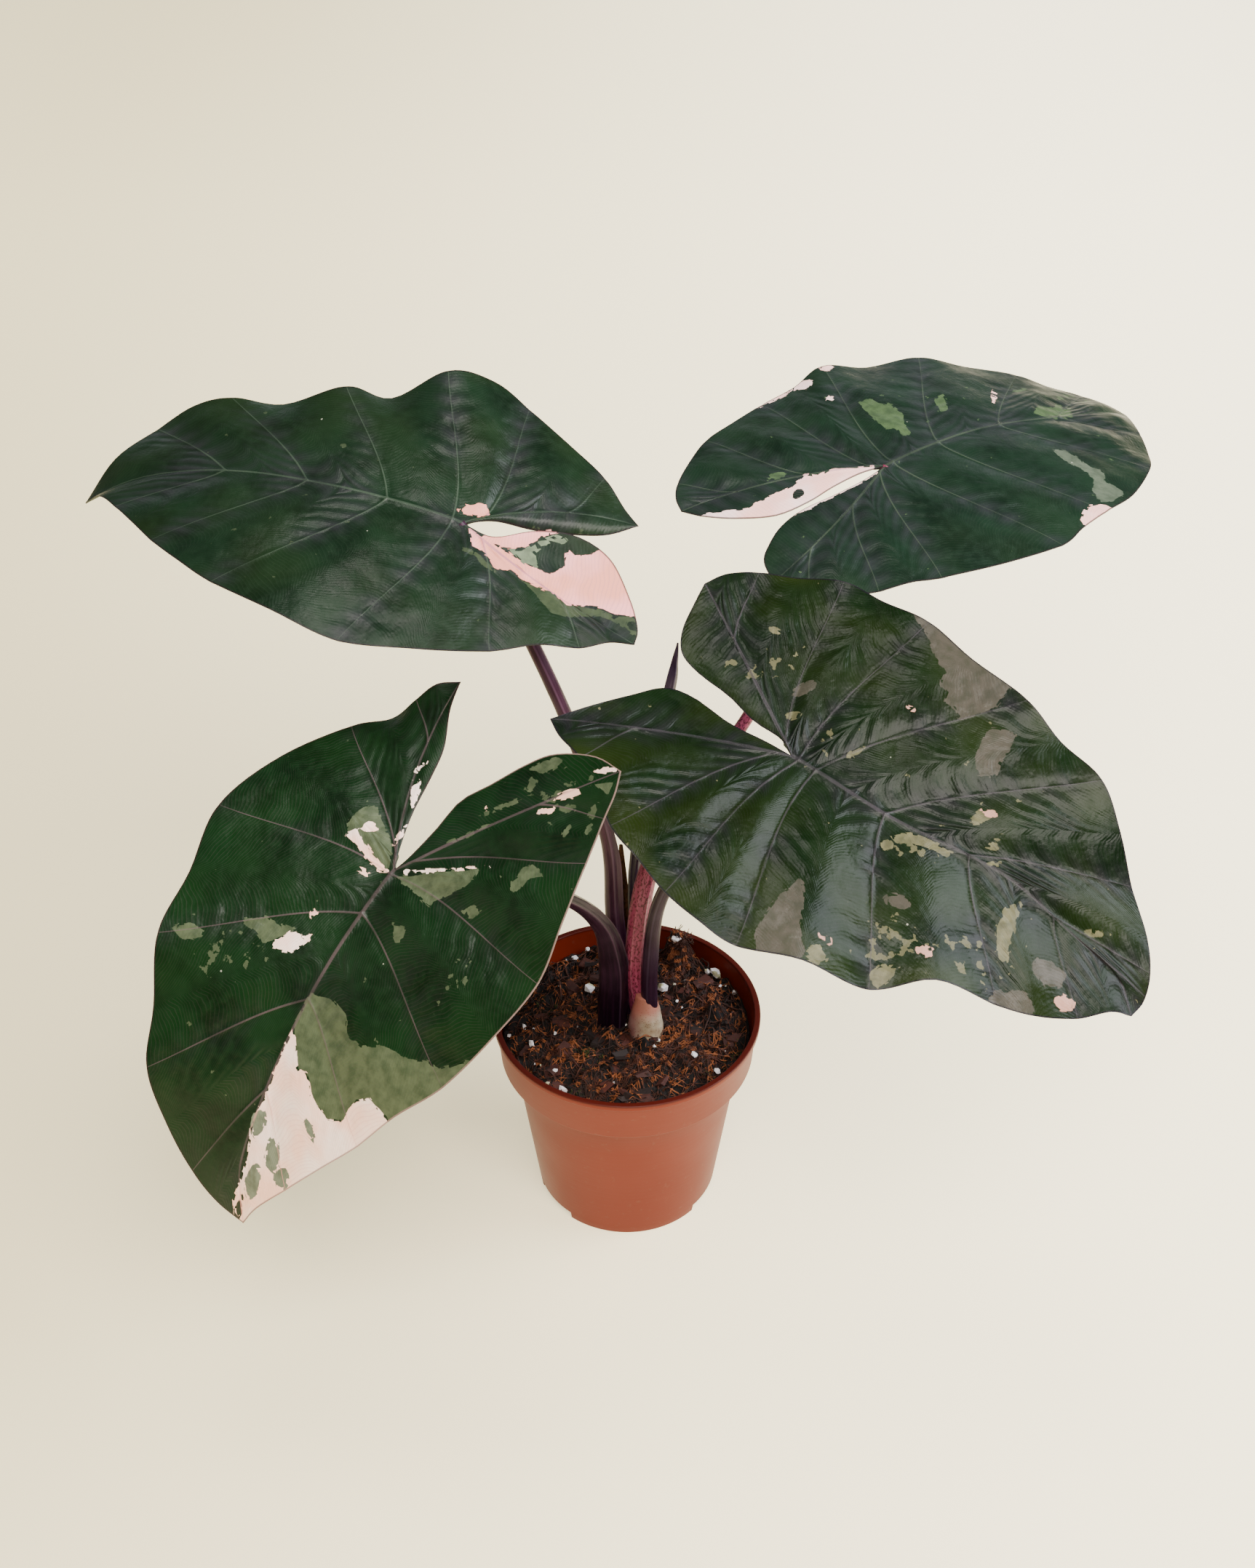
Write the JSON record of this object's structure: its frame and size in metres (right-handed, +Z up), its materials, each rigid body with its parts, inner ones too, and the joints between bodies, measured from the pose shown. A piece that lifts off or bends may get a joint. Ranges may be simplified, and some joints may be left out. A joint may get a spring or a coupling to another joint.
{
  "type": "potted alocasia plant",
  "caption": "Potted aroid with arrow-shaped variegated leaves on slender purple stalks, in a thin round terracotta-coloured nursery pot filled with coir, bark and perlite.",
  "frame": {"origin": "centre of the underside of the pot's foot", "axes": "+Z up out of the pot; -Y the plant's front, where the newest broad blades face the viewer; +X the viewer's right"},
  "size_m": [0.468, 0.3743, 0.3655],
  "materials": {
    "pot": "thin moulded polypropylene, terracotta colour, satin",
    "growing_mix": "moist coir fibre and bark chips with white perlite",
    "corm": "cream skin with fine brown specks",
    "dried_sheath": "dry brown papery fibres",
    "petiole_1": "smooth maroon stalk with a lilac bloom",
    "petiole_2": "pink stalk with dark red flecks, sheathed at the foot",
    "petiole_3": "glossy slate-purple stalk",
    "petiole_4": "nearly black purple stalk with a lilac stripe",
    "new_leaf": "rolled dark purple leaf, satin",
    "leaf_green_pink": "quilted dark green blade with pink and pale green sectors, satin",
    "leaf_green_tan": "quilted olive green blade with tan patches, glossy",
    "leaf_dark_pink": "dark blue-green blade with pink and grey-green sectors, satin"
  },
  "bodies": {
    "root": {"pot": "pot", "growing_mix": "growing_mix", "corm": "corm", "dried_sheath": "dried_sheath", "petiole_1": "petiole_1", "petiole_2": "petiole_2", "petiole_3": "petiole_3", "petiole_4": "petiole_4", "new_leaf": "new_leaf", "leaf_1": "leaf_green_pink", "leaf_2": "leaf_green_pink", "leaf_3": "leaf_green_tan", "leaf_4": "leaf_dark_pink"}
  },
  "joints": []
}
